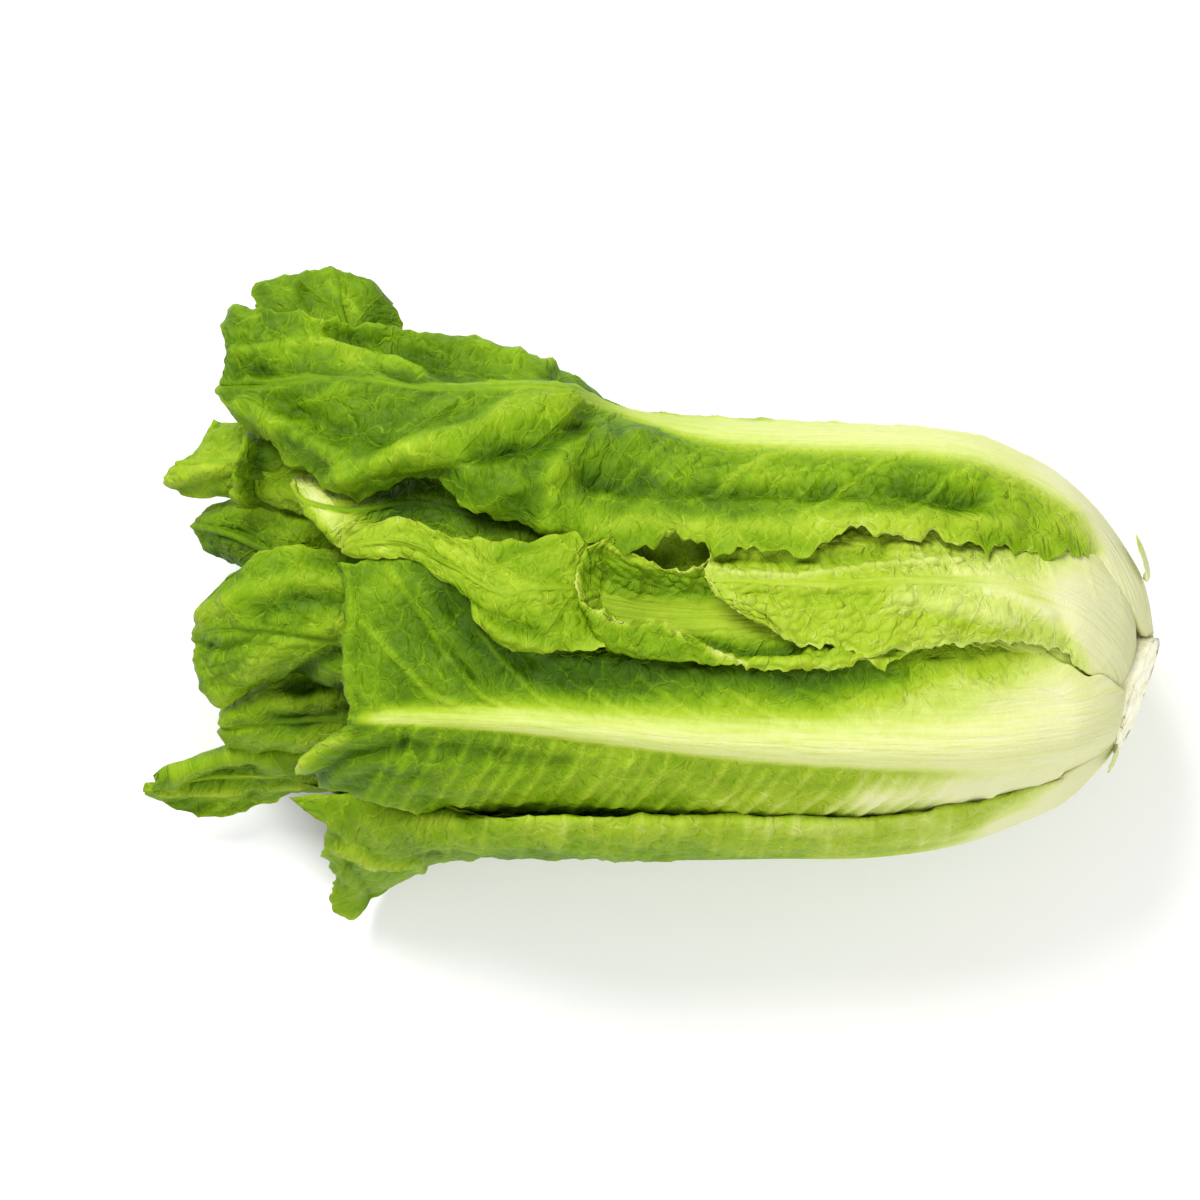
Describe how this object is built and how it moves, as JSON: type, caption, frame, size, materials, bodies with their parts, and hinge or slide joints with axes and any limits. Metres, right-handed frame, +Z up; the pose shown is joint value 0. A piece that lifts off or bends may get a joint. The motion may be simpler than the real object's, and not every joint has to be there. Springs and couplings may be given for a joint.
{
  "type": "romaine lettuce head",
  "caption": "Long head of romaine lettuce lying on its side: ribbed, ruffled green leaves clasped in layers round a short cut stem",
  "frame": {"origin": "middle of the head's footprint, on the surface that it lies on", "axes": "+X runs along the head from the leaf tips to the cut stem, +Y across it, +Z up"},
  "size_m": [0.3088, 0.2004, 0.116],
  "materials": {
    "stem": "matte",
    "leaf_base": "satin",
    "leaf_outer": "satin",
    "leaf_inner": "satin",
    "leaf_heart": "satin"
  },
  "bodies": {
    "root": {"stem": "stem", "leaf_top": "leaf_outer", "leaf_front": "leaf_outer", "leaf_bottom": "leaf_outer", "leaf_under": "leaf_outer", "leaf_back": "leaf_outer", "leaf_short_front": "leaf_outer", "leaf_cup": "leaf_outer", "leaf_left_mid": "leaf_outer", "leaf_inner_top": "leaf_inner", "leaf_left_big": "leaf_outer", "leaf_left_low": "leaf_outer", "leaf_left_tip": "leaf_outer", "leaf_upper_left": "leaf_outer", "leaf_upper_fold": "leaf_inner", "leaf_left_dark": "leaf_inner", "leaf_tip_up": "leaf_inner", "leaf_back_low": "leaf_inner", "leaf_under_side": "leaf_inner", "heart_1": "leaf_heart", "heart_2": "leaf_heart", "heart_3": "leaf_heart", "heart_4": "leaf_heart", "heart_5": "leaf_heart", "heart_6": "leaf_heart", "heart_7": "leaf_heart", "heart_8": "leaf_heart", "leaf_stub_1": "leaf_base", "leaf_stub_2": "leaf_base"}
  },
  "joints": []
}
